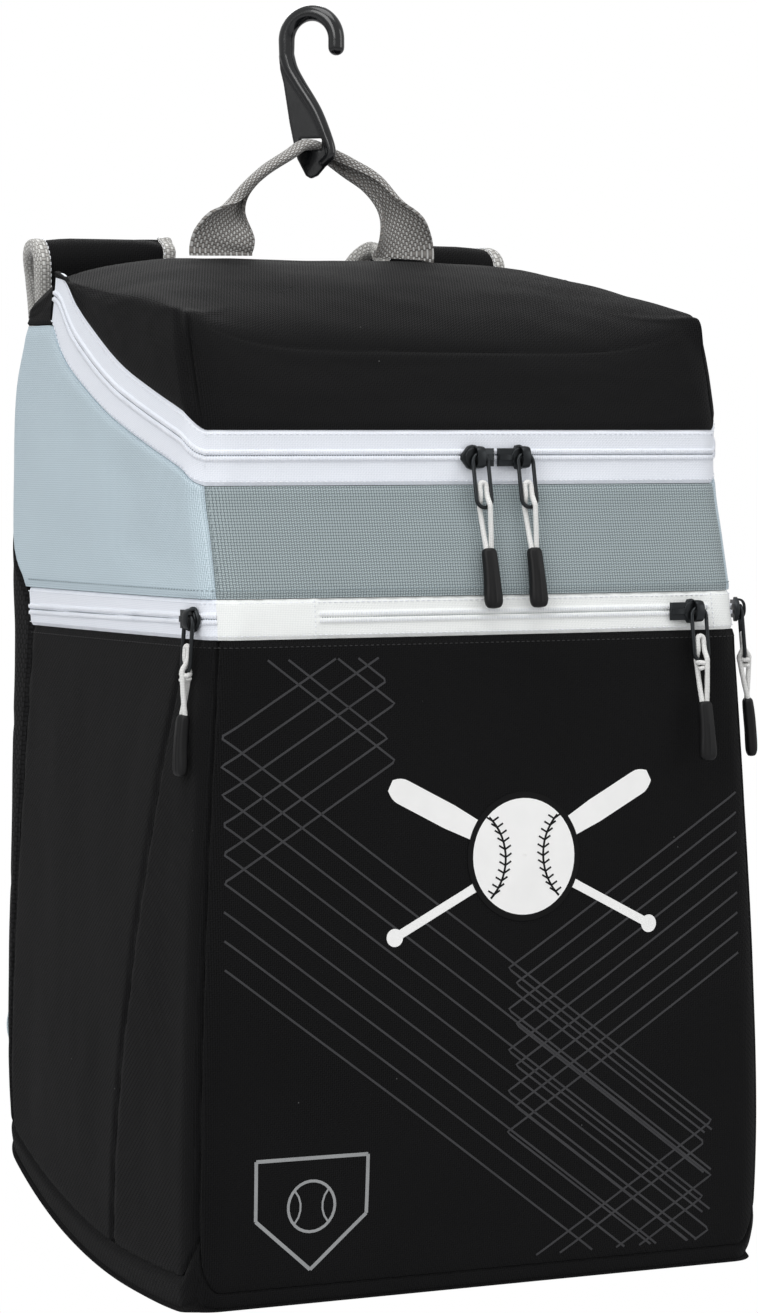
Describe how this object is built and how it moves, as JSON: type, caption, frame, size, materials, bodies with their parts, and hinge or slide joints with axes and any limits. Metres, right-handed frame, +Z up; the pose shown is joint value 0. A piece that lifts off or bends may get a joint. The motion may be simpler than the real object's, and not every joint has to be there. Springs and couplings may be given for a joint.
{
  "type": "baseball bat backpack",
  "caption": "Soft backpack for bats and ball gear, hung by its own fence hook: zipped main compartment under a slanted lid, zipped front and side pockets, padded straps and a webbing handle.",
  "frame": {"origin": "the seat of the fence hook: the middle of its inner bend's top, where it hangs on a rail or wire", "axes": "+Z up as the bag hangs, -Y towards the front pocket, +Y towards the wearer's back, +X to the bag's right as seen from its front"},
  "size_m": [0.346, 0.311, 0.6747],
  "materials": {
    "black_cloth": "black polyester twill, matte",
    "grey_cloth": "pale blue-grey twill, matte",
    "zip_tape": "white coated zip tape",
    "webbing": "light and dark grey checked webbing",
    "hook_plastic": "glossy black moulded plastic",
    "slider_metal": "gunmetal lacquer",
    "pull_cord": "white braided cord",
    "grip_rubber": "matte black rubber"
  },
  "bodies": {
    "root": {"side_panel_left": "black_cloth", "side_panel_right": "black_cloth", "pocket_gusset_left": "black_cloth", "pocket_gusset_right": "black_cloth", "front_panel": "black_cloth", "bottom_panel": "black_cloth", "back_panel": "black_cloth", "lid": "black_cloth", "upper_side_left": "grey_cloth", "upper_side_right": "grey_cloth", "upper_front": "grey_cloth", "main_zip": "zip_tape", "lower_zip_left": "zip_tape", "lower_zip_right": "zip_tape", "lower_zip_front": "zip_tape", "shoulder_strap_left": "black_cloth", "shoulder_strap_right": "black_cloth", "lower_strap_left": "webbing", "lower_strap_right": "webbing", "haul_handle": "webbing", "fence_hook": "hook_plastic", "slider_main_left": "slider_metal", "slider_main_right": "slider_metal", "slider_side_left": "slider_metal", "slider_front": "slider_metal", "slider_side_right": "slider_metal", "bail_main_left": "slider_metal", "bail_main_right": "slider_metal", "bail_side_left": "slider_metal", "bail_front": "slider_metal", "bail_side_right": "slider_metal", "pull_cord_main_left": "pull_cord", "pull_cord_main_right": "pull_cord", "pull_cord_side_left": "pull_cord", "pull_cord_front": "pull_cord", "pull_cord_side_right": "pull_cord", "pull_grip_main_left": "grip_rubber", "pull_grip_main_right": "grip_rubber", "pull_grip_side_left": "grip_rubber", "pull_grip_front": "grip_rubber", "pull_grip_side_right": "grip_rubber"}
  },
  "joints": []
}
